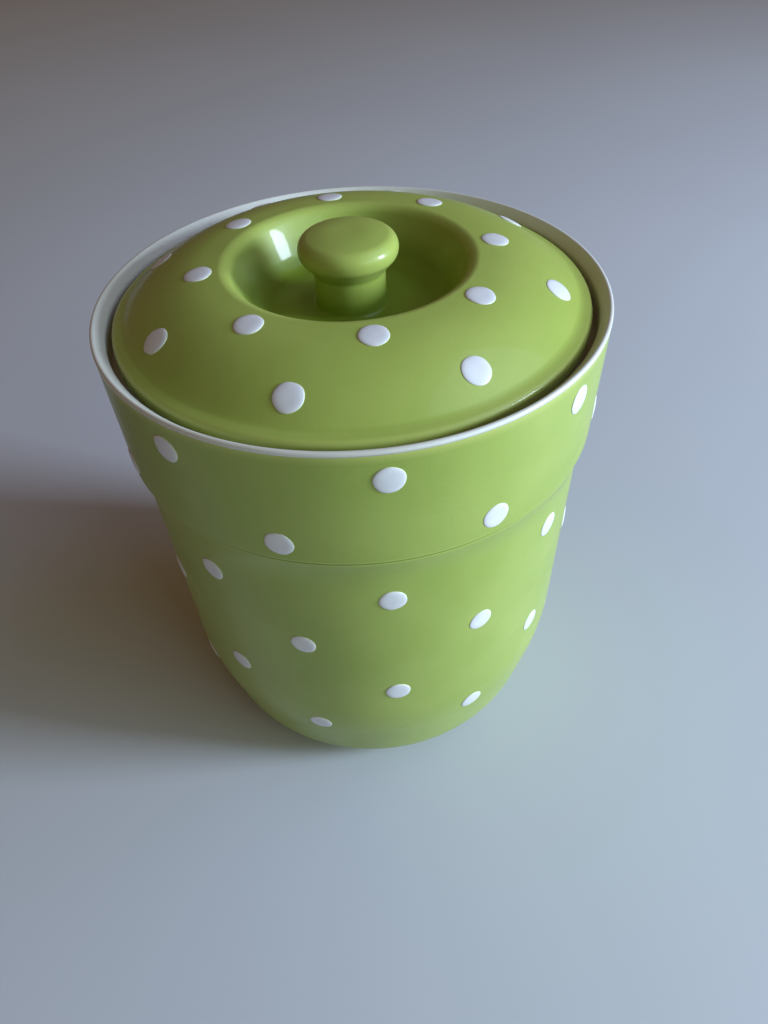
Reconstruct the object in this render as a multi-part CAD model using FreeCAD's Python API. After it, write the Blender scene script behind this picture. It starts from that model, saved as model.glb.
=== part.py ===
import FreeCAD, Part
import math
import os

# Round stoneware biscuit jar with a sunken lid. Sizes are in millimetres.
# The origin is the centre of the circle the jar stands on, +Z is up, and -Y is the photographed front.

# Jar, outside
JAR_HEIGHT = 193.0
RIM_RADIUS = 86.5
RIM_ROUND = 0.8
COLLAR_TAPER = 0.8
COLLAR_HEIGHT = 44.0
COLLAR_ROUND = 1.5
STEP_IN = 2.6
STEP_DROP = 9.5
STEP_ROUND = 45.0
BELLY_IN = 1.5
BELLY_HEIGHT = 46.6
BELLY_ROUND = 104.0
BASE_IN = 9.9
BASE_ROUND = 21.5

# Jar, inside and underneath
WALL = 5.0
RIM_WALL = 4.1
LIP_WIDTH = 1.3
BEVEL_DEPTH = 3.4
BEVEL_ROUND = 2.0
FLOOR_THICKNESS = 6.0
CORNER_ROUND = 17.0
GALLERY_DEPTH = 10.5
GALLERY_WIDTH = 6.2
GALLERY_HEIGHT = 4.0
GALLERY_UNDERCUT = 7.0
GALLERY_ROUND = 1.2
FOOT_RING_INSET = 21.7
FOOT_RECESS = 1.6

# Glaze coat and slip dots
COAT = 0.4
RIM_BARE = 1.4
FOOT_BARE = 2.5
DOT_RADIUS = 4.7
DOT_RAISE = 0.5
DOT_EDGE_ROUND = 0.3
DOTS_ROUND = 8
DOT_SECTOR = 40.0
JAR_DOT_ROWS = 6
JAR_DOT_TOP = 10.7
JAR_DOT_PITCH = 27.8
JAR_DOT_STAGGER = 1.7
JAR_DOT_TURN = 6.0

# Lid
LID_GAP = 2.1
SEAT_GAP = 0.3
LID_SINK = 2.1
LID_WALL = 4.5
LID_EDGE_ROUND = 2.2
LID_EDGE_BARE = 2.0
GROOVE_INSET = 4.2
GROOVE_RISE = 1.2
GROOVE_ROUND = 6.0
SHOULDER_INSET = 14.1
SHOULDER_RISE = 10.2
SHOULDER_ROUND = 50.0
ROOF_ROUND = 20.0
CROWN_WIDTH = 36.0
CREST_RISE = 11.9
CREST_ROUND = 4.5
DISH_SLOPE = 8.5
DISH_SINK = 5.0
DISH_ROUND = 9.0
SKIRT_GAP = 1.2
SKIRT_WALL = 3.6
SKIRT_DEPTH = 10.0
SKIRT_ROUND = 1.2
DOTS_FROM_DISH = 9.3
DOTS_FROM_GROOVE = 7.4
LID_DOT_TURN = 8.0

# Knob
KNOB_RISE = 19.7
KNOB_RADIUS = 17.0
KNOB_CROWN = 1.8
KNOB_FLAT = 8.5
KNOB_CROWN_ROUND = 40.0
KNOB_EDGE_ROUND = 4.4
KNOB_SIDE = 5.6
KNOB_TUCK = 0.6
KNOB_TUCK_ROUND = 4.0
NECK_DROP = 5.0
NECK_ROUND = 2.5
STEM_RADIUS = 12.0
LUTING_ROUND = 1.4

COLLAR_RADIUS = RIM_RADIUS - COLLAR_TAPER
STEP_RADIUS = COLLAR_RADIUS - STEP_IN
BELLY_RADIUS = STEP_RADIUS - BELLY_IN
BASE_RADIUS = BELLY_RADIUS - BASE_IN
FOOT_RING_RADIUS = BASE_RADIUS - FOOT_RING_INSET
COLLAR_Z = JAR_HEIGHT - COLLAR_HEIGHT
STEP_Z = COLLAR_Z - STEP_DROP
GALLERY_Z = JAR_HEIGHT - GALLERY_DEPTH
GALLERY_FOOT_Z = GALLERY_Z - GALLERY_HEIGHT
MOUTH_RADIUS = RIM_RADIUS - RIM_WALL
GALLERY_RADIUS = MOUTH_RADIUS - GALLERY_WIDTH
LID_RADIUS = MOUTH_RADIUS - LID_GAP
SEAT_Z = GALLERY_Z + SEAT_GAP
LID_EDGE_Z = JAR_HEIGHT - LID_SINK
GROOVE_RADIUS = LID_RADIUS - GROOVE_INSET
SHOULDER_RADIUS = GROOVE_RADIUS - SHOULDER_INSET
DISH_RADIUS = GROOVE_RADIUS - CROWN_WIDTH
DISH_FLOOR_RADIUS = DISH_RADIUS - DISH_SLOPE
DISH_Z = JAR_HEIGHT - DISH_SINK
SKIRT_OUTER = GALLERY_RADIUS - SKIRT_GAP
SKIRT_INNER = SKIRT_OUTER - SKIRT_WALL
SKIRT_Z = SEAT_Z - SKIRT_DEPTH
KNOB_Z = JAR_HEIGHT + KNOB_RISE
LEAST_ROUND = 0.3


def point(r, z):
    return FreeCAD.Vector(r, 0, z)


def rounded_path(knots, closed=False):
    """Edges through (r, z, round) knots: straight runs joined by tangent arcs."""
    corners = [point(r, z) for r, z, _ in knots]
    rounds = [radius for _, _, radius in knots]
    count = len(corners)
    edges = []
    ends = []
    for i, corner in enumerate(corners):
        inner = closed or 0 < i < count - 1
        if not inner or rounds[i] <= 0:
            ends.append((corner, corner, None))
            continue
        to_last = (corners[i - 1] - corner).normalize()
        to_next = (corners[(i + 1) % count] - corner).normalize()
        half = 0.5 * to_last.getAngle(to_next)
        reach = rounds[i] / math.tan(half)
        bisector = (to_last + to_next).normalize()
        centre = corner + bisector * (rounds[i] / math.sin(half))
        middle = centre - bisector * rounds[i]
        ends.append((corner + to_last * reach, corner + to_next * reach, middle))
    last = count if closed else count - 1
    for i in range(count):
        start, finish, middle = ends[i]
        if middle is not None:
            edges.append(Part.Arc(start, middle, finish).toShape())
        if i < last:
            following = ends[(i + 1) % count][0]
            if finish.distanceToPoint(following) > 1e-6:
                edges.append(Part.LineSegment(finish, following).toShape())
    return edges


def rounded_face(knots):
    return Part.Face(Part.Wire(rounded_path(knots, closed=True)))


def box_face(r_low, r_high, z_low, z_high):
    corners = ((r_low, z_low), (r_high, z_low), (r_high, z_high), (r_low, z_high))
    return rounded_face([(r, z, 0) for r, z in corners])


def turned(face):
    """Solid made by turning the part of a face that lies at r > 0 once round the axis."""
    half = face.common(box_face(0, 2 * RIM_RADIUS, -JAR_HEIGHT, 2 * JAR_HEIGHT)).removeSplitter()
    solids = []
    for piece in half.Faces:
        solids += piece.revolve(point(0, 0), FreeCAD.Vector(0, 0, 1), 360).Solids
    whole = solids[0]
    for solid in solids[1:]:
        whole = whole.fuse(solid)
    return whole


def shifted(knots, distance):
    """The same path moved out by a distance, to the left of its direction. Its arcs keep their centres."""
    moved = []
    for i, (r, z, radius) in enumerate(knots):
        before = knots[max(i - 1, 0)]
        after = knots[min(i + 1, len(knots) - 1)]
        last_run = FreeCAD.Vector(r - before[0], z - before[1], 0)
        next_run = FreeCAD.Vector(after[0] - r, after[1] - z, 0)
        last_run = (last_run if i > 0 else next_run).normalize()
        next_run = (next_run if i < len(knots) - 1 else last_run).normalize()
        mitre = FreeCAD.Vector(-last_run.y - next_run.y, last_run.x + next_run.x, 0)
        mitre = mitre * (distance / (1 + last_run.dot(next_run)))
        turns_out = last_run.x * next_run.y - last_run.y * next_run.x < 0
        if radius > 0:
            radius = max(radius + (distance if turns_out else -distance), LEAST_ROUND)
        moved.append((r + mitre.x, z + mitre.y, radius))
    return moved


def jar_side():
    """Outside of the jar from the rim down to the foot, as (r, z, round) knots."""
    return [
        (RIM_RADIUS, JAR_HEIGHT, RIM_ROUND),
        (COLLAR_RADIUS, COLLAR_Z, COLLAR_ROUND),
        (STEP_RADIUS, STEP_Z, STEP_ROUND),
        (BELLY_RADIUS, BELLY_HEIGHT, BELLY_ROUND),
        (BASE_RADIUS, 0, BASE_ROUND),
    ]


def jar_inside():
    """Inside of the jar from the floor up to the lip, with the lid's ledge and a bevel over it."""
    return [
        (0, FLOOR_THICKNESS, 0),
        (BASE_RADIUS - WALL, FLOOR_THICKNESS, CORNER_ROUND),
        (BELLY_RADIUS - WALL, BELLY_HEIGHT, BELLY_ROUND - WALL),
        (STEP_RADIUS - WALL, STEP_Z, STEP_ROUND + WALL),
        (COLLAR_RADIUS - WALL, COLLAR_Z, COLLAR_ROUND + WALL),
        (COLLAR_RADIUS - WALL, GALLERY_FOOT_Z - GALLERY_UNDERCUT, GALLERY_ROUND),
        (GALLERY_RADIUS, GALLERY_FOOT_Z, GALLERY_ROUND),
        (GALLERY_RADIUS, GALLERY_Z, GALLERY_ROUND),
        (MOUTH_RADIUS, GALLERY_Z, GALLERY_ROUND),
        (MOUTH_RADIUS, JAR_HEIGHT - BEVEL_DEPTH, BEVEL_ROUND),
        (RIM_RADIUS - LIP_WIDTH, JAR_HEIGHT, RIM_ROUND),
    ]


def jar_section():
    foot = [(FOOT_RING_RADIUS, 0, 0), (FOOT_RING_RADIUS, FOOT_RECESS, 0), (0, FOOT_RECESS, 0)]
    return rounded_face(jar_inside() + jar_side() + foot)


def jar_outline(shift=0.0):
    """Outside of the jar as a filled shape that runs past the axis, moved out by the shift."""
    top = [(-RIM_RADIUS, JAR_HEIGHT, 0)]
    foot = [(-RIM_RADIUS, 0, 0)]
    return rounded_face(shifted(top + jar_side() + foot, shift))


def jar_coat_face():
    band = box_face(FOOT_RING_RADIUS, 2 * RIM_RADIUS, FOOT_BARE, JAR_HEIGHT - RIM_BARE)
    return jar_outline().cut(jar_outline(-COAT)).common(band)


def make_jar_body():
    return turned(jar_section().cut(jar_coat_face()))


def make_jar_coat():
    return turned(jar_coat_face())


def knob_side():
    """Knob from the middle of its top down to the dish, as (r, z, round) knots."""
    side_top = KNOB_Z - KNOB_CROWN
    side_foot = side_top - KNOB_SIDE
    return [
        (0, KNOB_Z, 0),
        (KNOB_FLAT, KNOB_Z, KNOB_CROWN_ROUND),
        (KNOB_RADIUS, side_top, KNOB_EDGE_ROUND),
        (KNOB_RADIUS - KNOB_TUCK, side_foot, KNOB_TUCK_ROUND),
        (STEM_RADIUS, side_foot - NECK_DROP, NECK_ROUND),
        (STEM_RADIUS, DISH_Z, LUTING_ROUND),
    ]


def lid_crown():
    """Top of the lid from the dish out to the groove inside its edge."""
    return [
        (DISH_FLOOR_RADIUS, DISH_Z, DISH_ROUND),
        (DISH_RADIUS, JAR_HEIGHT + CREST_RISE, CREST_ROUND),
        (SHOULDER_RADIUS, JAR_HEIGHT + SHOULDER_RISE, SHOULDER_ROUND),
        (GROOVE_RADIUS, LID_EDGE_Z + GROOVE_RISE, GROOVE_ROUND),
    ]


def lid_top(with_knob):
    """Whole top of the lid from the axis to the seat, with or without the knob."""
    middle = knob_side() if with_knob else [(0, DISH_Z, 0)]
    return middle + lid_crown() + [(LID_RADIUS, LID_EDGE_Z, LID_EDGE_ROUND), (LID_RADIUS, SEAT_Z, 0)]


def lid_underside():
    """Under the lid from the seat to the axis: the skirt, then a roof parallel to the crown and dish."""
    floor, wall, shoulder, groove = shifted([(0, DISH_Z, 0)] + lid_crown(), -LID_WALL)[1:]
    fall = (groove[1] - shoulder[1]) / (groove[0] - shoulder[0])
    roof_z = shoulder[1] + fall * (SKIRT_INNER - shoulder[0])
    return [
        (SKIRT_OUTER, SEAT_Z, LEAST_ROUND),
        (SKIRT_OUTER, SKIRT_Z, SKIRT_ROUND),
        (SKIRT_INNER, SKIRT_Z, SKIRT_ROUND),
        (SKIRT_INNER, roof_z, SKIRT_ROUND),
        (shoulder[0], shoulder[1], ROOF_ROUND),
        wall,
        floor,
        (0, floor[1], 0),
    ]


def lid_section():
    return rounded_face(lid_top(False) + lid_underside())


def lid_outline(with_knob=False, shift=0.0):
    """Top of the lid as a filled shape that runs past the axis, moved out by the shift."""
    top = shifted(lid_top(with_knob), shift)
    foot = SKIRT_Z - LID_WALL
    start = [(-LID_RADIUS, top[0][1], 0)]
    return rounded_face(start + top[1:] + [(top[-1][0], foot, 0), (-LID_RADIUS, foot, 0)])


def above(z):
    return box_face(-2 * RIM_RADIUS, 2 * RIM_RADIUS, z, 2 * JAR_HEIGHT)


def lid_coat_face(with_knob):
    skin = lid_outline(with_knob).cut(lid_outline(with_knob, -COAT))
    return skin.common(above(SEAT_Z + LID_EDGE_BARE))


def make_lid_body():
    return turned(lid_section().cut(lid_coat_face(False)))


def make_lid_coat():
    return turned(lid_coat_face(True))


def knob_face():
    """Half section of the knob without its glaze: it stands flat on the dish."""
    core = lid_outline(True, -COAT)
    foot = DISH_Z - COAT
    cap = core.common(box_face(0, KNOB_RADIUS, foot + 2 * LUTING_ROUND, KNOB_Z))
    stem = box_face(0, STEM_RADIUS - COAT, foot, foot + 2 * LUTING_ROUND)
    return cap.fuse(stem).removeSplitter()


def make_knob():
    return turned(knob_face())


def make_luting_ring():
    core = lid_outline(True, -COAT)
    foot = DISH_Z - COAT
    outer = STEM_RADIUS + LUTING_ROUND
    corner = core.common(box_face(STEM_RADIUS - COAT, outer, foot, foot + LUTING_ROUND))
    return turned(corner)


def surface_frame(outline, r, z_side=None):
    """Point and outward normal where a section meets the line of radius r, or of height z_side."""
    if z_side is None:
        probe = Part.makeLine(point(r, 2 * JAR_HEIGHT), point(r, SEAT_Z))
    else:
        probe = Part.makeLine(point(2 * RIM_RADIUS, z_side), point(0, z_side))
    start = probe.Vertexes[0].Point
    spots = []
    for edge in outline.Edges:
        distance, pairs, _ = edge.distToShape(probe)
        if distance < 1e-6:
            spots.append((start.distanceToPoint(pairs[0][0]), pairs[0][0], edge))
    _, spot, edge = min(spots, key=lambda item: item[0])
    along = edge.tangentAt(edge.Curve.parameter(spot))
    normal = along.cross(FreeCAD.Vector(0, 1, 0)).normalize()
    if normal.dot(start - spot) < 0:
        normal = normal * -1
    return spot, normal


def make_dot(outline, raised, spot, normal):
    """One pad of slip, cut from the layer between two outlines so that it follows the curve."""
    reach = 2 * DOT_RADIUS
    window = box_face(spot.x - reach, spot.x + reach, spot.z - reach, spot.z + reach)
    layer = raised.cut(outline).common(window)
    layer.rotate(point(0, 0), FreeCAD.Vector(0, 0, 1), -0.5 * DOT_SECTOR)
    patch = layer.toNurbs().Faces[0].revolve(point(0, 0), FreeCAD.Vector(0, 0, 1), DOT_SECTOR)
    core = Part.makeCylinder(DOT_RADIUS, 4 * DOT_RADIUS, spot - normal * 2 * DOT_RADIUS, normal)
    pads = patch.common(core).Solids
    pad = min(pads, key=lambda solid: solid.CenterOfMass.distanceToPoint(spot))
    return pad.makeFillet(DOT_EDGE_ROUND, upper_rim(pad, outline))


def upper_rim(pad, outline):
    """Edges round the pad's upper face: those whose middle stands off the surface by the full raise."""
    rim = []
    for edge in pad.Edges:
        middle = edge.valueAt(0.5 * (edge.FirstParameter + edge.LastParameter))
        on_section = Part.Vertex(point(math.hypot(middle.x, middle.y), middle.z))
        raised = on_section.distToShape(outline.Wires[0])[0] > 0.9 * DOT_RAISE
        borders = [face for face in pad.Faces if any(edge.isSame(other) for other in face.Edges)]
        if raised and any(abs(getattr(face.Surface, "Radius", 0) - DOT_RADIUS) < 1e-6 for face in borders):
            rim.append(edge)
    return rim


def spun(solid, count, first_angle):
    copies = []
    for i in range(count):
        copy = solid.copy()
        copy.rotate(FreeCAD.Vector(0, 0, 0), FreeCAD.Vector(0, 0, 1), first_angle - 90 + i * 360 / count)
        copies.append(copy)
    return copies


def make_jar_dots():
    outline = jar_outline()
    raised = jar_outline(DOT_RAISE)
    dots = []
    for row in range(JAR_DOT_ROWS):
        odd = row % 2
        height = JAR_HEIGHT - JAR_DOT_TOP - row * JAR_DOT_PITCH + odd * JAR_DOT_STAGGER
        spot, normal = surface_frame(outline, None, height)
        dot = make_dot(outline, raised, spot, normal)
        dots += spun(dot, DOTS_ROUND, JAR_DOT_TURN - odd * 180 / DOTS_ROUND)
    return Part.makeCompound(dots)


def make_lid_dots():
    outline = lid_outline()
    raised = lid_outline(False, DOT_RAISE)
    dots = []
    for odd, radius in enumerate((DISH_RADIUS + DOTS_FROM_DISH, GROOVE_RADIUS - DOTS_FROM_GROOVE)):
        spot, normal = surface_frame(outline, radius)
        dot = make_dot(outline, raised, spot, normal)
        dots += spun(dot, DOTS_ROUND, LID_DOT_TURN + odd * 180 / DOTS_ROUND)
    return Part.makeCompound(dots)


NODES = {
    "jar_body": make_jar_body,
    "jar_glaze": make_jar_coat,
    "jar_dots": make_jar_dots,
    "lid_body": make_lid_body,
    "lid_knob": make_knob,
    "knob_luting_ring": make_luting_ring,
    "lid_glaze": make_lid_coat,
    "lid_dots": make_lid_dots,
}


os.makedirs("parts", exist_ok=True)
for name, make in NODES.items():
    shape = make()
    box = shape.BoundBox
    print(f"{name}: {len(shape.Solids)} solids, valid {shape.isValid()}, volume {shape.Volume:.0f}, "
          f"z {box.ZMin:.2f} to {box.ZMax:.2f}, r {box.XMax:.2f}")
    shape.exportStep(f"parts/{name}.step")
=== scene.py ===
import math
import random

import bmesh
import bpy
from mathutils import Matrix, Vector, noise


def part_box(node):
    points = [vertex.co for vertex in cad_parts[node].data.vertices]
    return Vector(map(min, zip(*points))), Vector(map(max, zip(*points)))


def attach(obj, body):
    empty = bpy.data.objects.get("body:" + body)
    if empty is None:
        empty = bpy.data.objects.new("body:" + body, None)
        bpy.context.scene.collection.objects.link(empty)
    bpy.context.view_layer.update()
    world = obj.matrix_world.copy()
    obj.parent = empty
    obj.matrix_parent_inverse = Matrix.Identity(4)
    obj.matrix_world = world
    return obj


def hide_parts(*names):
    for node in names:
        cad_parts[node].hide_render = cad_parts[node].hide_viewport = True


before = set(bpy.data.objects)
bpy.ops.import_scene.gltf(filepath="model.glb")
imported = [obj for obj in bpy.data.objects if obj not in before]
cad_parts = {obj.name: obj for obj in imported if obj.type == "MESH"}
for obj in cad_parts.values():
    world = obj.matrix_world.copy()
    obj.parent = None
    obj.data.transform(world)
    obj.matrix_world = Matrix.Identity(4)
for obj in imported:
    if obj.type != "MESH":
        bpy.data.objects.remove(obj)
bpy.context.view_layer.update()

MM = 0.001
TURNS = 288
STRAIGHT_STEP = 2.2
ARC_STEP = 0.35
LONG_ARC = 12.0
LEAST_ROUND = 0.3
HAIR = 1e-3
SAME_SPOT = 1e-4
ON_AXIS = 1e-6

# Jar sizes in millimetres, above the foot and out from the axis
JAR_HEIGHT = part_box("jar_body")[1].z / MM
RIM_RADIUS = 86.5
RIM_ROUND = 0.8
COLLAR_RADIUS = 85.7
COLLAR_Z = JAR_HEIGHT - 44.0
COLLAR_ROUND = 1.5
STEP_RADIUS = 83.1
STEP_Z = COLLAR_Z - 9.5
STEP_ROUND = 45.0
BELLY_RADIUS = 81.6
BELLY_Z = 46.6
BELLY_ROUND = 104.0
BASE_RADIUS = 71.7
BASE_ROUND = 21.5
WALL = 5.0
FLOOR_Z = 6.0
CORNER_ROUND = 17.0
MOUTH_RADIUS = RIM_RADIUS - 4.1
LIP_RADIUS = RIM_RADIUS - 0.86
LIP_INNER_RADIUS = RIM_RADIUS - 1.3
BEVEL_Z = JAR_HEIGHT - 3.4
BEVEL_ROUND = 2.0
GALLERY_Z = JAR_HEIGHT - 10.5
GALLERY_FOOT_Z = GALLERY_Z - 4.0
GALLERY_RADIUS = MOUTH_RADIUS - 6.2
GALLERY_UNDERCUT = 7.0
GALLERY_ROUND = 1.2
FOOT_RING_RADIUS = 50.0
FOOT_RECESS = 1.6
CLAY_TOP_Z = 0.9

# Lid
LID_RADIUS = MOUTH_RADIUS - 2.1
SEAT_Z = GALLERY_Z + 0.3
LID_EDGE_Z = JAR_HEIGHT - 2.1
LID_EDGE_ROUND = 2.2
GROOVE_RADIUS = LID_RADIUS - 4.2
GROOVE_RISE = 1.2
GROOVE_ROUND = 6.0
SHOULDER_RADIUS = GROOVE_RADIUS - 14.1
SHOULDER_RISE = 10.2
SHOULDER_ROUND = 50.0
DISH_RADIUS = GROOVE_RADIUS - 36.0
DISH_SLOPE = 8.5
DISH_ROUND = 9.0
DISH_Z = JAR_HEIGHT - 5.0
CREST_RISE = 11.9
CREST_ROUND = 4.5
LID_WALL = 4.5
ROOF_ROUND = 20.0
SKIRT_OUTER = GALLERY_RADIUS - 1.2
SKIRT_INNER = SKIRT_OUTER - 3.6
SKIRT_Z = SEAT_Z - 10.0
SKIRT_ROUND = 1.2

# Knob
KNOB_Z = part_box("lid_glaze")[1].z / MM
KNOB_RADIUS = 17.0
KNOB_FLAT = 8.5
KNOB_CROWN = 1.8
KNOB_CROWN_ROUND = 40.0
KNOB_EDGE_ROUND = 4.4
KNOB_TUCK = 0.6
KNOB_TUCK_DROP = 7.4
KNOB_TUCK_ROUND = 4.0
NECK_DROP = 12.4
NECK_ROUND = 2.5
STEM_RADIUS = 12.0
LUTING_ROUND = 1.4

# Glaze coats: the trimmed crease under the collar, a slow ripple, and thickness along the section
COAT = 0.4
COAT_LINING = 0.25
COAT_TOP_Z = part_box("jar_glaze")[1].z / MM
COAT_FOOT_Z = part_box("jar_glaze")[0].z / MM
LID_COAT_Z = SEAT_Z + 2.0
LID_COAT_EASE = 0.3
# The crease's colour line is painted: pooled green in its middle as painted shade, thin green on its
# shoulders as painted highlight
CREASE_Z = COLLAR_Z - 0.7
CREASE_WIDTH = 0.45
CREASE_DEPTH = 0.22
CREASE_STEP = 0.12
RIPPLE = 0.07
RIPPLE_SIZE = 22.0
EVEN_RUN = 0.5
RUN_LIMIT = 0.4
RUN_PASSES = 6
# Painted shade with pooled glaze: the green darkens in the dish and round the knob's stem, most towards the
# dish floor
POOL_AND_SHADE = 0.22
POOL_AND_SHADE_TOP_Z = JAR_HEIGHT + 7.0
POOL_AND_SHADE_FADE = 10.0

# Slip dots
DOT_RADIUS = 4.7
DOT_RAISE = 0.5
DOT_SINK = 0.15
DOT_CROWN = 0.14
DOT_SHIFT = 0.25
DOT_WAVES = (2, 3, 5)
DOT_WAVE_LEAST = 0.004
DOT_WAVE_MOST = 0.012
DOTS_ROUND = 8
DOT_RINGS = (0.0, 0.2, 0.4, 0.58, 0.72, 0.83, 0.91, 0.96, 0.99, 1.0)
DOT_SIDES = 48
JAR_DOT_ROWS = 6
JAR_DOT_TOP_Z = JAR_HEIGHT - 10.7
JAR_DOT_PITCH = 27.8
JAR_DOT_STAGGER = 1.7
JAR_DOT_TURN = 6.0
JAR_DOT_SEED = 11
LID_DOT_RADII = (DISH_RADIUS + 9.3, GROOVE_RADIUS - 7.4)
LID_DOT_TURN = 8.0
LID_DOT_SEED = 5


def shifted(knots, distance):
    """The same path moved to the left of its direction. Its arcs keep their centres."""
    moved = []
    for i, (r, z, radius) in enumerate(knots):
        before = knots[max(i - 1, 0)]
        after = knots[min(i + 1, len(knots) - 1)]
        last_run = Vector((r - before[0], z - before[1]))
        next_run = Vector((after[0] - r, after[1] - z))
        last_run = (last_run if i > 0 else next_run).normalized()
        next_run = (next_run if i < len(knots) - 1 else last_run).normalized()
        mitre = Vector((-last_run.y - next_run.y, last_run.x + next_run.x))
        mitre *= distance / (1 + last_run.dot(next_run))
        turns_out = last_run.x * next_run.y - last_run.y * next_run.x < 0
        if radius > 0:
            radius = max(radius + (distance if turns_out else -distance), LEAST_ROUND)
        moved.append((r + mitre.x, z + mitre.y, radius))
    return moved


def rounded(knots):
    """Points (r, z) along straight runs joined by tangent arcs, close enough together to look smooth."""
    points = []
    for i, (r, z, radius) in enumerate(knots):
        corner = Vector((r, z))
        if not 0 < i < len(knots) - 1 or radius <= 0:
            run_to(points, corner)
            continue
        to_last = (Vector(knots[i - 1][:2]) - corner).normalized()
        to_next = (Vector(knots[i + 1][:2]) - corner).normalized()
        half = 0.5 * to_last.angle(to_next)
        centre = corner + (to_last + to_next).normalized() * (radius / math.sin(half))
        start = corner + to_last * (radius / math.tan(half)) - centre
        turn = math.pi - 2 * half
        if to_last.x * to_next.y - to_last.y * to_next.x > 0:
            turn = -turn
        step = ARC_STEP if radius < LONG_ARC else STRAIGHT_STEP
        count = max(2, math.ceil(abs(turn) * radius / step))
        for k in range(count + 1):
            angle = turn * k / count
            spoke = Vector((start.x * math.cos(angle) - start.y * math.sin(angle),
                            start.x * math.sin(angle) + start.y * math.cos(angle)))
            run_to(points, centre + spoke)
    return points


def run_to(points, target):
    """Adds the target to the path, with points between where the run is long."""
    if points:
        run = target - points[-1]
        if run.length < SAME_SPOT:
            return
        count = max(1, math.ceil(run.length / STRAIGHT_STEP))
        start = points[-1].copy()
        for k in range(1, count):
            points.append(start + run * (k / count))
    points.append(target.copy())


def between(points, low, high):
    """The stretch of a path that lies between two heights, cut exactly at each."""
    kept = []
    for a, b in zip(points, points[1:]):
        crossed = [level for level in (low, high) if (level - a.y) * (level - b.y) < 0]
        cuts = sorted((level - a.y) / (b.y - a.y) for level in crossed)
        for share in [0.0] + cuts + [1.0]:
            spot = a.lerp(b, share)
            if low - HAIR < spot.y < high + HAIR and (not kept or (spot - kept[-1]).length > HAIR):
                kept.append(spot)
    return kept


def jar_side(shift=0.0):
    """Outside of the jar from the middle of the lip down to the foot."""
    return rounded(shifted([
        (LIP_RADIUS, JAR_HEIGHT, 0),
        (RIM_RADIUS, JAR_HEIGHT, RIM_ROUND),
        (COLLAR_RADIUS, COLLAR_Z, COLLAR_ROUND),
        (STEP_RADIUS, STEP_Z, STEP_ROUND),
        (BELLY_RADIUS, BELLY_Z, BELLY_ROUND),
        (BASE_RADIUS, 0, BASE_ROUND),
        (FOOT_RING_RADIUS, 0, 0),
    ], shift))


def jar_inside():
    """Inside of the jar from the floor up to the middle of the lip."""
    return rounded([
        (0, FLOOR_Z, 0),
        (BASE_RADIUS - WALL, FLOOR_Z, CORNER_ROUND),
        (BELLY_RADIUS - WALL, BELLY_Z, BELLY_ROUND - WALL),
        (STEP_RADIUS - WALL, STEP_Z, STEP_ROUND + WALL),
        (COLLAR_RADIUS - WALL, COLLAR_Z, COLLAR_ROUND + WALL),
        (COLLAR_RADIUS - WALL, GALLERY_FOOT_Z - GALLERY_UNDERCUT, GALLERY_ROUND),
        (GALLERY_RADIUS, GALLERY_FOOT_Z, GALLERY_ROUND),
        (GALLERY_RADIUS, GALLERY_Z, GALLERY_ROUND),
        (MOUTH_RADIUS, GALLERY_Z, GALLERY_ROUND),
        (MOUTH_RADIUS, BEVEL_Z, BEVEL_ROUND),
        (LIP_INNER_RADIUS, JAR_HEIGHT, RIM_ROUND),
        (LIP_RADIUS, JAR_HEIGHT, 0),
    ])


def knob_side():
    """Knob from the middle of its top down to the dish, as (r, z, round) knots."""
    return [
        (0, KNOB_Z, 0),
        (KNOB_FLAT, KNOB_Z, KNOB_CROWN_ROUND),
        (KNOB_RADIUS, KNOB_Z - KNOB_CROWN, KNOB_EDGE_ROUND),
        (KNOB_RADIUS - KNOB_TUCK, KNOB_Z - KNOB_TUCK_DROP, KNOB_TUCK_ROUND),
        (STEM_RADIUS, KNOB_Z - NECK_DROP, NECK_ROUND),
        (STEM_RADIUS, DISH_Z, LUTING_ROUND),
    ]


def lid_crown():
    """Top of the lid from the dish out to the groove inside its edge."""
    return [
        (DISH_RADIUS - DISH_SLOPE, DISH_Z, DISH_ROUND),
        (DISH_RADIUS, JAR_HEIGHT + CREST_RISE, CREST_ROUND),
        (SHOULDER_RADIUS, JAR_HEIGHT + SHOULDER_RISE, SHOULDER_ROUND),
        (GROOVE_RADIUS, LID_EDGE_Z + GROOVE_RISE, GROOVE_ROUND),
    ]


def lid_top(with_knob, shift=0.0):
    """Top of the lid from the axis to the seat."""
    middle = knob_side() if with_knob else [(0, DISH_Z, 0)]
    edge = [(LID_RADIUS, LID_EDGE_Z, LID_EDGE_ROUND), (LID_RADIUS, SEAT_Z, 0)]
    return rounded(shifted(middle + lid_crown() + edge, shift))


def lid_underside():
    """Under the lid, from the seat over the skirt to the axis."""
    floor, wall, shoulder, groove = shifted([(0, DISH_Z, 0)] + lid_crown(), -LID_WALL)[1:]
    fall = (groove[1] - shoulder[1]) / (groove[0] - shoulder[0])
    roof_z = shoulder[1] + fall * (SKIRT_INNER - shoulder[0])
    return rounded([
        (LID_RADIUS, SEAT_Z, 0),
        (SKIRT_OUTER, SEAT_Z, LEAST_ROUND),
        (SKIRT_OUTER, SKIRT_Z, SKIRT_ROUND),
        (SKIRT_INNER, SKIRT_Z, SKIRT_ROUND),
        (SKIRT_INNER, roof_z, SKIRT_ROUND),
        (shoulder[0], shoulder[1], ROOF_ROUND),
        wall,
        floor,
        (0, floor[1], 0),
    ])


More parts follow.
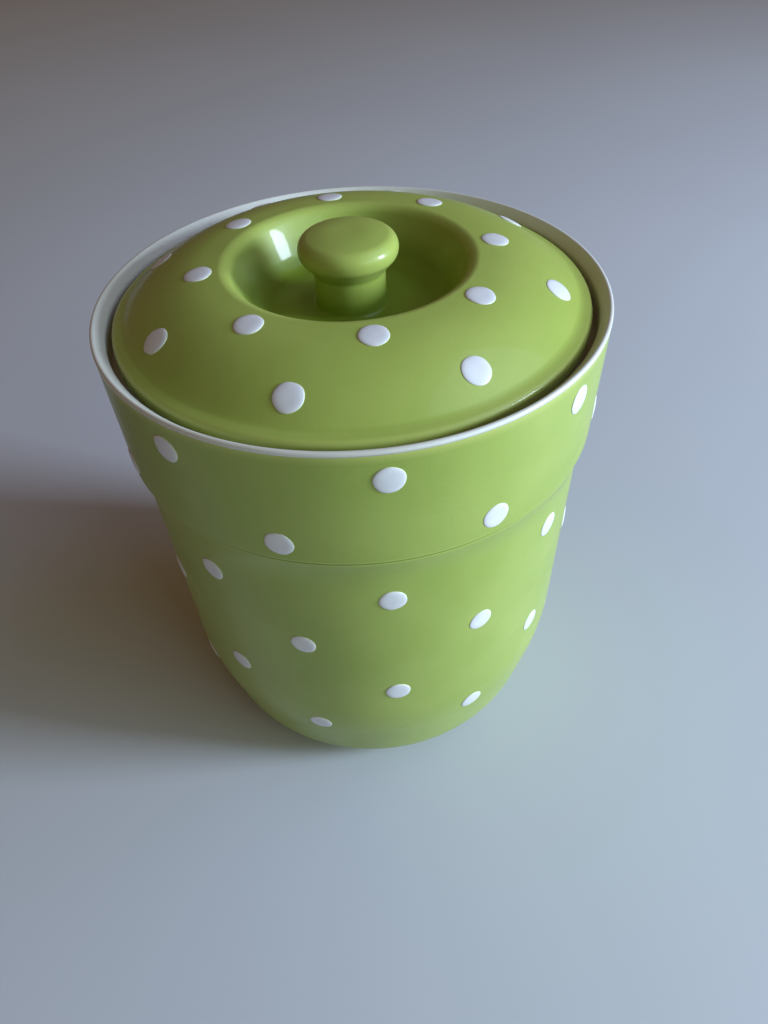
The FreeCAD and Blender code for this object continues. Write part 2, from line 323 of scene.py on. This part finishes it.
def glaze_run_and_shade(path):
    """How the glaze lies along a path: above EVEN_RUN it is thin, as on an edge, and below it thick, as where
    it pools. The thick runs in the dish, round the knob's stem and in the crease under the collar are pooled
    glaze and painted shade; the thin runs on the crease's shoulders are thinned glaze and painted highlight.
    """
    bends = []
    for i, p in enumerate(path):
        last_run = p - path[i - 1]
        next_run = path[(i + 1) % len(path)] - p
        length = last_run.length + next_run.length
        turn = last_run.x * next_run.y - last_run.y * next_run.x
        bends.append(-4 * turn / length ** 3 if length > HAIR else 0.0)
    for _ in range(RUN_PASSES):
        following = bends[1:] + bends[:1]
        bends = [0.25 * (bends[i - 1] + 2 * bend + following[i]) for i, bend in enumerate(bends)]
    return [EVEN_RUN + min(max(bend, -RUN_LIMIT), RUN_LIMIT) - pooled_and_shaded(p) for bend, p in zip(bends, path)]


def pooled_and_shaded(p):
    """Extra thickness where the glaze ran down into the dish and round the knob's stem, most towards the dish
    floor: pooled glaze and painted shade.
    """
    if p.x > DISH_RADIUS or p.y < DISH_Z - COAT - HAIR:
        return 0.0
    return POOL_AND_SHADE * min(max((POOL_AND_SHADE_TOP_Z - p.y) / POOL_AND_SHADE_FADE, 0), 1)


def lathe(name, path, ripple=0.0):
    """A closed path (r, z) in millimetres turned once round the axis, as a smooth mesh in metres."""
    bm = bmesh.new()
    # Glaze run per ring: high is thin glaze, low is pooled glaze, and in the dish, round the stem and in the
    # crease the low values are also painted shade
    thin = bm.verts.layers.float.new("thin")
    runs_and_shade = glaze_run_and_shade(path)
    rings = []
    for (r, z), run in zip(path, runs_and_shade):
        if r < ON_AXIS:
            rings.append([bm.verts.new((0, 0, z * MM))])
            rings[-1][0][thin] = run
            continue
        ring = []
        for k in range(TURNS):
            angle = 2 * math.pi * k / TURNS
            co = Vector((r * math.cos(angle), r * math.sin(angle), z))
            if ripple:
                co += Vector((co.x, co.y, 0)).normalized() * ripple * (noise.noise(co / RIPPLE_SIZE) - 0.5)
            ring.append(bm.verts.new(co * MM))
            ring[-1][thin] = run
        rings.append(ring)
    for lower, upper in zip(rings, rings[1:]):
        for k in range(TURNS):
            quad = [lower[k % len(lower)], lower[(k + 1) % len(lower)],
                    upper[(k + 1) % len(upper)], upper[k % len(upper)]]
            corners = list(dict.fromkeys(quad))
            if len(corners) > 2:
                bm.faces.new(corners)
    return finished(name, bm)


def finished(name, bm):
    bmesh.ops.recalc_face_normals(bm, faces=bm.faces)
    mesh = bpy.data.meshes.new(name)
    bm.to_mesh(mesh)
    bm.free()
    mesh.polygons.foreach_set("use_smooth", [True] * len(mesh.polygons))
    piece = bpy.data.objects.new(name, mesh)
    bpy.context.scene.collection.objects.link(piece)
    return piece


def creased(points, level):
    """The same path with a fine crease at one height, where the step was trimmed. The glaze lies thick in its
    middle, pooled glaze and painted shade, and thin on its shoulders, thinned glaze and painted highlight.
    """
    reach = 3 * CREASE_WIDTH
    fine = between(points, level - reach, level + reach)
    steps = math.ceil((fine[-1] - fine[0]).length / CREASE_STEP)
    rows = Section(fine)
    dented = []
    for k in range(steps + 1):
        spot, normal = rows.at(rows.lengths[-1] * k / steps)
        depth = CREASE_DEPTH * math.exp(-((spot.y - level) / CREASE_WIDTH) ** 2)
        dented.append(spot - normal * depth)
    return [p for p in points if p.y > level + reach] + dented + [p for p in points if p.y < level - reach]


def bead(points, lining):
    """Closed outline of a coat: down its face, back up its lining."""
    return points + list(reversed(lining)) + points[:1]


def make_jar_ware():
    side = jar_side(-COAT)
    lip = between(jar_side(), COAT_TOP_Z, JAR_HEIGHT)
    foot = between(jar_side(), 0, COAT_FOOT_Z)
    recess = [Vector((FOOT_RING_RADIUS, FOOT_RECESS)), Vector((0, FOOT_RECESS))]
    middle = between(side, COAT_FOOT_Z, COAT_TOP_Z)
    path = jar_inside() + lip + middle + foot + recess
    return lathe("jar_ware", path)


def make_jar_coat():
    face = creased(between(jar_side(), COAT_FOOT_Z, COAT_TOP_Z), CREASE_Z)
    lining = between(jar_side(-COAT_LINING), COAT_FOOT_Z, COAT_TOP_Z)
    return lathe("jar_green_glaze", bead(face, lining), RIPPLE)


def make_lid_ware():
    top = between(lid_top(False, -COAT), LID_COAT_Z, KNOB_Z)
    edge = [Vector((LID_RADIUS, LID_COAT_Z))]
    return lathe("lid_ware", top + edge + lid_underside())


def make_lid_coat():
    face = between(lid_top(True), LID_COAT_Z + LID_COAT_EASE, KNOB_Z + 1)
    lining = between(lid_top(True, -COAT_LINING), LID_COAT_Z, KNOB_Z + 1)
    return lathe("lid_green_glaze", face + list(reversed(lining)), RIPPLE)


class Section:
    """An outline measured by its length, so that pads can be laid along it."""

    def __init__(self, points):
        self.points = points
        self.lengths = [0.0]
        for a, b in zip(points, points[1:]):
            self.lengths.append(self.lengths[-1] + (b - a).length)

    def at(self, length):
        """Point and outward normal at a length along the outline."""
        k = 1
        while k < len(self.points) - 1 and self.lengths[k] < length:
            k += 1
        a, b = self.points[k - 1], self.points[k]
        run = (b - a).normalized()
        return a + run * (length - self.lengths[k - 1]), Vector((-run.y, run.x))

    def length_where(self, height_of, level):
        """Length at which a measure of the outline first passes a level."""
        for k, (a, b) in enumerate(zip(self.points, self.points[1:])):
            low, high = height_of(a), height_of(b)
            if (low - level) * (high - level) <= 0 and low != high:
                return self.lengths[k] + (b - a).length * (level - low) / (high - low)
        raise ValueError("the outline doesn't reach that place")


def add_pad(bm, edge, section, middle, turn, rng):
    """One pad of slip on the outline at a length and a turn in degrees, with a slightly uneven edge."""
    waves = [(n, rng.uniform(DOT_WAVE_LEAST, DOT_WAVE_MOST), rng.uniform(0, 2 * math.pi)) for n in DOT_WAVES]
    middle += rng.uniform(-DOT_SHIFT, DOT_SHIFT)
    turn = math.radians(turn + rng.uniform(-DOT_SHIFT, DOT_SHIFT))
    rings = []
    for share in DOT_RINGS + (1.0, 0.0):
        base = len(rings) >= len(DOT_RINGS)
        crown = 1 - DOT_CROWN + DOT_CROWN * (1 - share ** 2)
        lift = -DOT_SINK if base else DOT_RAISE * (1 - share ** 5) ** 0.5 * crown
        ring = []
        for k in range(DOT_SIDES if share else 1):
            angle = 2 * math.pi * k / DOT_SIDES
            reach = share * DOT_RADIUS * (1 + sum(a * math.sin(n * angle + p) for n, a, p in waves))
            spot, normal = section.at(middle + reach * math.sin(angle))
            place = spot + normal * lift
            round_at = turn + reach * math.cos(angle) / spot.x
            spoke = Vector((place.x * math.sin(round_at), -place.x * math.cos(round_at), place.y))
            vert = bm.verts.new(spoke * MM)
            vert[edge] = share
            ring.append(vert)
        rings.append(ring)
    for inner, outer in zip(rings, rings[1:]):
        for k in range(DOT_SIDES):
            quad = [inner[k % len(inner)], inner[(k + 1) % len(inner)],
                    outer[(k + 1) % len(outer)], outer[k % len(outer)]]
            corners = list(dict.fromkeys(quad))
            if len(corners) > 2:
                bm.faces.new(corners)


def make_jar_dots():
    bm = bmesh.new()
    edge = bm.verts.layers.float.new("edge")
    rng = random.Random(JAR_DOT_SEED)
    section = Section(jar_side())
    for row in range(JAR_DOT_ROWS):
        height = JAR_DOT_TOP_Z - row * JAR_DOT_PITCH + (row % 2) * JAR_DOT_STAGGER
        middle = section.length_where(lambda p: p.y, height)
        for k in range(DOTS_ROUND):
            turn = JAR_DOT_TURN + (k - 0.5 * (row % 2)) * 360 / DOTS_ROUND
            add_pad(bm, edge, section, middle, turn, rng)
    return finished("jar_slip_dots", bm)


def make_lid_dots():
    bm = bmesh.new()
    edge = bm.verts.layers.float.new("edge")
    rng = random.Random(LID_DOT_SEED)
    section = Section(lid_top(False))
    for ring, radius in enumerate(LID_DOT_RADII):
        middle = section.length_where(lambda p: p.x, radius)
        for k in range(DOTS_ROUND):
            turn = LID_DOT_TURN + (k + 0.5 * (ring % 2)) * 360 / DOTS_ROUND
            add_pad(bm, edge, section, middle, turn, rng)
    return finished("lid_slip_dots", bm)


class Material:
    """A node material with short calls for the nodes that the finishes use."""

    def __init__(self, name, **settings):
        self.material = bpy.data.materials.new(name)
        self.material.use_nodes = True
        self.tree = self.material.node_tree
        self.shader = self.tree.nodes["Principled BSDF"]
        for label, value in settings.items():
            self.shader.inputs[label.replace("_", " ")].default_value = value
        self.coordinates = self.tree.nodes.new("ShaderNodeTexCoord").outputs["Object"]

    def link(self, source, target):
        self.tree.links.new(source, target)

    def noise(self, size, detail=2.0, roughness=0.5):
        """Noise whose features are about the size given in millimetres, from 0 to 1."""
        node = self.tree.nodes.new("ShaderNodeTexNoise")
        node.inputs["Scale"].default_value = 1 / (size * MM)
        node.inputs["Detail"].default_value = detail
        node.inputs["Roughness"].default_value = roughness
        self.link(self.coordinates, node.inputs["Vector"])
        return node.outputs["Fac"]

    def spots(self, size):
        node = self.tree.nodes.new("ShaderNodeTexVoronoi")
        node.inputs["Scale"].default_value = 1 / (size * MM)
        self.link(self.coordinates, node.inputs["Vector"])
        return node.outputs["Distance"]

    def ramp(self, value, *stops):
        """Colours or greys between positions: each stop is (position, colour or grey)."""
        node = self.tree.nodes.new("ShaderNodeValToRGB")
        elements = node.color_ramp.elements
        while len(elements) < len(stops):
            elements.new(0.5)
        for element, (position, colour) in zip(elements, stops):
            element.position = position
            element.color = (*colour, 1) if isinstance(colour, tuple) else (colour,) * 3 + (1,)
        self.link(value, node.inputs["Fac"])
        return node.outputs["Color"]

    def mix(self, factor, first, second, blend="MIX"):
        node = self.tree.nodes.new("ShaderNodeMix")
        node.data_type = "RGBA"
        node.blend_type = blend
        sockets = (node.inputs["Factor"], node.inputs[6], node.inputs[7])
        for socket, value in zip(sockets, (factor, first, second)):
            if hasattr(value, "is_linked"):
                self.link(value, socket)
            else:
                socket.default_value = (*value, 1) if isinstance(value, tuple) else value
        return node.outputs[2]

    def height_band(self, *stops):
        """A grey that follows the height above the foot: each stop is (millimetres, grey)."""
        split = self.tree.nodes.new("ShaderNodeSeparateXYZ")
        self.link(self.coordinates, split.inputs[0])
        scaled = self.tree.nodes.new("ShaderNodeMapRange")
        low, high = stops[0][0], stops[-1][0]
        scaled.inputs["From Min"].default_value = low * MM
        scaled.inputs["From Max"].default_value = high * MM
        self.link(split.outputs["Z"], scaled.inputs["Value"])
        return self.ramp(scaled.outputs["Result"], *[((z - low) / (high - low), grey) for z, grey in stops])

    def attribute(self, name):
        node = self.tree.nodes.new("ShaderNodeAttribute")
        node.attribute_name = name
        return node.outputs["Fac"]

    def colour(self, source):
        self.link(source, self.shader.inputs["Base Color"])

    def roughness(self, source):
        self.link(source, self.shader.inputs["Roughness"])

    def bump(self, *layers):
        """Bump from (height source, depth in millimetres) layers, one on top of the other."""
        normal = None
        for source, depth in layers:
            node = self.tree.nodes.new("ShaderNodeBump")
            node.inputs["Distance"].default_value = depth * MM
            self.link(source, node.inputs["Height"])
            if normal is not None:
                self.link(normal, node.inputs["Normal"])
            normal = node.outputs["Normal"]
        self.link(normal, self.shader.inputs["Normal"])


GREEN = (0.375, 0.455, 0.100)
GREEN_DEEP = (0.315, 0.400, 0.072)
GREEN_THIN = (0.520, 0.570, 0.150)
# Dark green of thick glaze: pooled glaze, and painted shade in the dish, round the stem and in the crease
GREEN_POOL_AND_SHADE = (0.200, 0.290, 0.022)
CREAM = (0.76, 0.745, 0.69)
CREAM_SHADE = (0.70, 0.675, 0.60)
SPECK = (0.16, 0.12, 0.06)
SLIP = (0.80, 0.79, 0.82)
SLIP_SHADE = (0.74, 0.73, 0.76)
BISCUIT = (0.60, 0.53, 0.43)
BISCUIT_LIGHT = (0.69, 0.63, 0.53)
FLOOR = (0.54, 0.55, 0.59)
FLOOR_LIGHT = (0.57, 0.58, 0.62)
WARM_AIR = (1.0, 0.65, 0.33)
WARM_AIR_STRENGTH = 0.145

# Heights in millimetres with the share of thin green there: at the rim it is glaze thinned towards its top
# edge; on the lid it is painted light, the lid's top lighter than its side down in the gap
RIM_THIN_BAND = ((COAT_TOP_Z - 3.0, 0.0), (COAT_TOP_Z - 1.2, 0.45), (COAT_TOP_Z, 0.95))
# Painted light: the lid's top is lightened towards the thin green, its side down in the gap is not
LID_PAINTED_LIGHT_BAND = ((JAR_HEIGHT - 5.4, 0.0), (JAR_HEIGHT - 3.6, 0.12), (KNOB_Z, 0.12))


def green_glaze(name, *thin_glaze_and_light_band):
    """Glossy green glaze: it pools a little, thins over edges, and has a fine orange-peel skin. The pooled
    green in the dish, round the knob's stem and in the crease under the collar is also painted shade, the
    thin green on the crease's shoulders is also painted highlight, and the lid's top is painted lighter.
    """
    m = Material(name, IOR=1.45, Specular_IOR_Level=0.25, Coat_Weight=0.22, Coat_Roughness=0.05, Coat_IOR=1.5)
    clouded = m.ramp(m.noise(38, 3.0), (0.32, GREEN_DEEP), (0.66, GREEN))
    flecked = m.mix(m.ramp(m.noise(1.1, 3.0), (0.35, 0.0), (0.75, 0.22)), clouded, GREEN_DEEP)
    body = m.mix(m.ramp(m.noise(0.5, 2.0), (0.5, 0.0), (0.85, 0.25)), flecked, GREEN_THIN)
    # Thin green on edges; on the crease's shoulders it is also painted highlight
    body = m.mix(m.ramp(m.attribute("thin"), (0.54, 0.0), (0.76, 0.55)), body, GREEN_THIN)
    # Dark pooled green where the glaze lies thick; in the dish, round the knob's stem and in the crease it is
    # also painted shade
    body = m.mix(m.ramp(m.attribute("thin"), (0.24, 1.0), (0.46, 0.0)), body, GREEN_POOL_AND_SHADE)
    # Thin green by height: glaze thinned at the rim's top edge, and painted light on the lid's top
    body = m.mix(m.height_band(*thin_glaze_and_light_band), body, GREEN_THIN)
    pits = m.ramp(m.spots(7.0), (0.0, 1.0), (0.035, 0.0))
    body = m.mix(pits, body, SPECK)
    m.colour(body)
    m.roughness(m.ramp(m.noise(9, 4.0), (0.3, 0.30), (0.7, 0.40)))
    hollows = m.ramp(m.spots(7.0), (0.0, 0.0), (0.04, 1.0))
    m.bump((m.noise(1.6, 2.0), 0.012), (m.noise(9, 2.0), 0.05), (hollows, 0.03))
    return m.material


def white_ware(name):
    """Clear-glazed cream stoneware with a few iron specks."""
    m = Material(name, IOR=1.45, Coat_Weight=0.15, Coat_Roughness=0.06, Coat_IOR=1.5)
    body = m.ramp(m.noise(30, 3.0), (0.35, CREAM_SHADE), (0.65, CREAM))
    specks = m.ramp(m.spots(4.2), (0.0, 0.55), (0.05, 0.0))
    m.colour(m.mix(specks, body, SPECK))
    m.roughness(m.ramp(m.noise(7, 3.0), (0.3, 0.28), (0.7, 0.38)))
    m.bump((m.noise(1.8, 2.0), 0.012), (m.noise(12, 2.0), 0.06))
    return m.material


def bare_clay(name):
    """Unglazed clay of the foot: matt and gritty."""
    m = Material(name, Roughness=0.85, IOR=1.45)
    m.colour(m.mix(m.ramp(m.noise(0.6, 4.0), (0.35, 0.0), (0.7, 1.0)), BISCUIT, BISCUIT_LIGHT))
    m.roughness(m.ramp(m.noise(2, 3.0), (0.3, 0.75), (0.7, 0.92)))
    m.bump((m.noise(0.5, 4.0), 0.06))
    return m.material


def slip_white(name):
    """Thick white slip under a gloss: it thins and greys towards each dot's edge."""
    m = Material(name, IOR=1.45, Coat_Weight=0.10, Coat_Roughness=0.08, Coat_IOR=1.5)
    body = m.ramp(m.noise(5, 3.0), (0.35, SLIP_SHADE), (0.65, SLIP))
    thin = m.ramp(m.attribute("edge"), (0.90, 0.0), (0.97, 0.16), (1.0, 0.6))
    m.colour(m.mix(thin, body, GREEN_THIN))
    m.roughness(m.ramp(m.noise(3, 3.0), (0.3, 0.30), (0.7, 0.42)))
    m.bump((m.noise(1.5, 2.0), 0.012))
    return m.material


def dress(piece, body, slot, node, *materials):
    for material in materials:
        piece.data.materials.append(material)
    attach(piece, body)
    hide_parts(node)


def bare_foot(piece):
    """Gives the second material, bare clay, to the faces of the foot ring."""
    for polygon in piece.data.polygons:
        if polygon.center.z < CLAY_TOP_Z * MM:
            polygon.material_index = 1


JAR_GREEN = green_glaze("jar_green", *RIM_THIN_BAND)
LID_GREEN = green_glaze("lid_green", *LID_PAINTED_LIGHT_BAND)
WARE = white_ware("cream_ware")
CLAY = bare_clay("bare_clay")
SLIP_DOTS = slip_white("white_slip_dots")

jar_ware = make_jar_ware()
dress(jar_ware, "jar", "white_ware", "jar_body", WARE, CLAY)
bare_foot(jar_ware)
dress(make_jar_coat(), "jar", "green_glaze", "jar_glaze", JAR_GREEN)
dress(make_jar_dots(), "jar", "white_slip", "jar_dots", SLIP_DOTS)
dress(make_lid_ware(), "lid", "white_ware", "lid_body", WARE)
dress(make_lid_coat(), "lid", "green_glaze", "lid_glaze", LID_GREEN)
dress(make_lid_dots(), "lid", "white_slip", "lid_dots", SLIP_DOTS)

for node in ("lid_knob", "knob_luting_ring"):
    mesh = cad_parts[node].data
    mesh.materials.clear()
    mesh.materials.append(WARE)


# In metres: the floor's side, and the place that the lights are turned towards
FLOOR_SIZE = 8
LIT_PLACE = (0, 0, 0.1)


def make_floor():
    bpy.ops.mesh.primitive_plane_add(size=FLOOR_SIZE)
    floor = bpy.context.object
    floor.name = "floor"
    m = Material("pale_floor", Roughness=0.55)
    m.colour(m.mix(m.ramp(m.noise(400, 2.0), (0.3, 0.0), (0.7, 1.0)), FLOOR, FLOOR_LIGHT))
    floor.data.materials.append(m.material)


def make_light(name, place, size, power, colour):
    """A rectangular light in metres and watts, turned towards the middle of the jar."""
    light = bpy.data.lights.new(name, "AREA")
    light.shape = "RECTANGLE"
    light.size, light.size_y = size
    light.energy = power
    light.color = colour
    lamp = bpy.data.objects.new(name, light)
    lamp.location = place
    lamp.rotation_euler = (Vector(LIT_PLACE) - Vector(place)).to_track_quat("-Z", "Y").to_euler()
    bpy.context.scene.collection.objects.link(lamp)


def make_world():
    world = bpy.data.worlds.new("studio")
    world.use_nodes = True
    background = world.node_tree.nodes["Background"]
    background.inputs["Color"].default_value = (*WARM_AIR, 1)
    background.inputs["Strength"].default_value = WARM_AIR_STRENGTH
    bpy.context.scene.world = world


# The photograph's camera: focal length and image size in pixels, place in metres, tilt and roll in degrees
IMAGE_HEIGHT = 1024
FOCAL_PIXELS = 749.6
CAMERA_PLACE = (0.0071, -0.2337, 0.3178)
CAMERA_TILT = 44.87
CAMERA_ROLL = 3.04
SENSOR = 36.0


def make_camera():
    data = bpy.data.cameras.new("camera")
    data.sensor_width = SENSOR
    data.lens = FOCAL_PIXELS * SENSOR / IMAGE_HEIGHT
    data.clip_start = 0.01
    camera = bpy.data.objects.new("camera", data)
    tilt, roll = math.radians(CAMERA_TILT), math.radians(CAMERA_ROLL)
    forward = Vector((0, math.cos(tilt), -math.sin(tilt)))
    level = Vector((1, 0, 0))
    down = forward.cross(level)
    right = math.cos(roll) * level + math.sin(roll) * down
    down = -math.sin(roll) * level + math.cos(roll) * down
    turn = Matrix((right, -down, -forward)).transposed()
    camera.matrix_world = Matrix.Translation(CAMERA_PLACE) @ turn.to_4x4()
    bpy.context.scene.collection.objects.link(camera)
    bpy.context.scene.camera = camera


make_floor()
make_world()
make_light("window", (1.59, -0.315, 0.60), size=(0.40, 0.52), power=42, colour=(0.63, 0.79, 1.0))
make_light("window_side", (1.20, -1.00, 0.74), size=(1.2, 1.0), power=9, colour=(0.68, 1.0, 0.97))
make_light("sky", (1.10, -0.10, 1.40), size=(1.2, 1.0), power=6.5, colour=(0.40, 0.55, 1.0))
make_camera()
bpy.context.scene.view_settings.view_transform = "Standard"
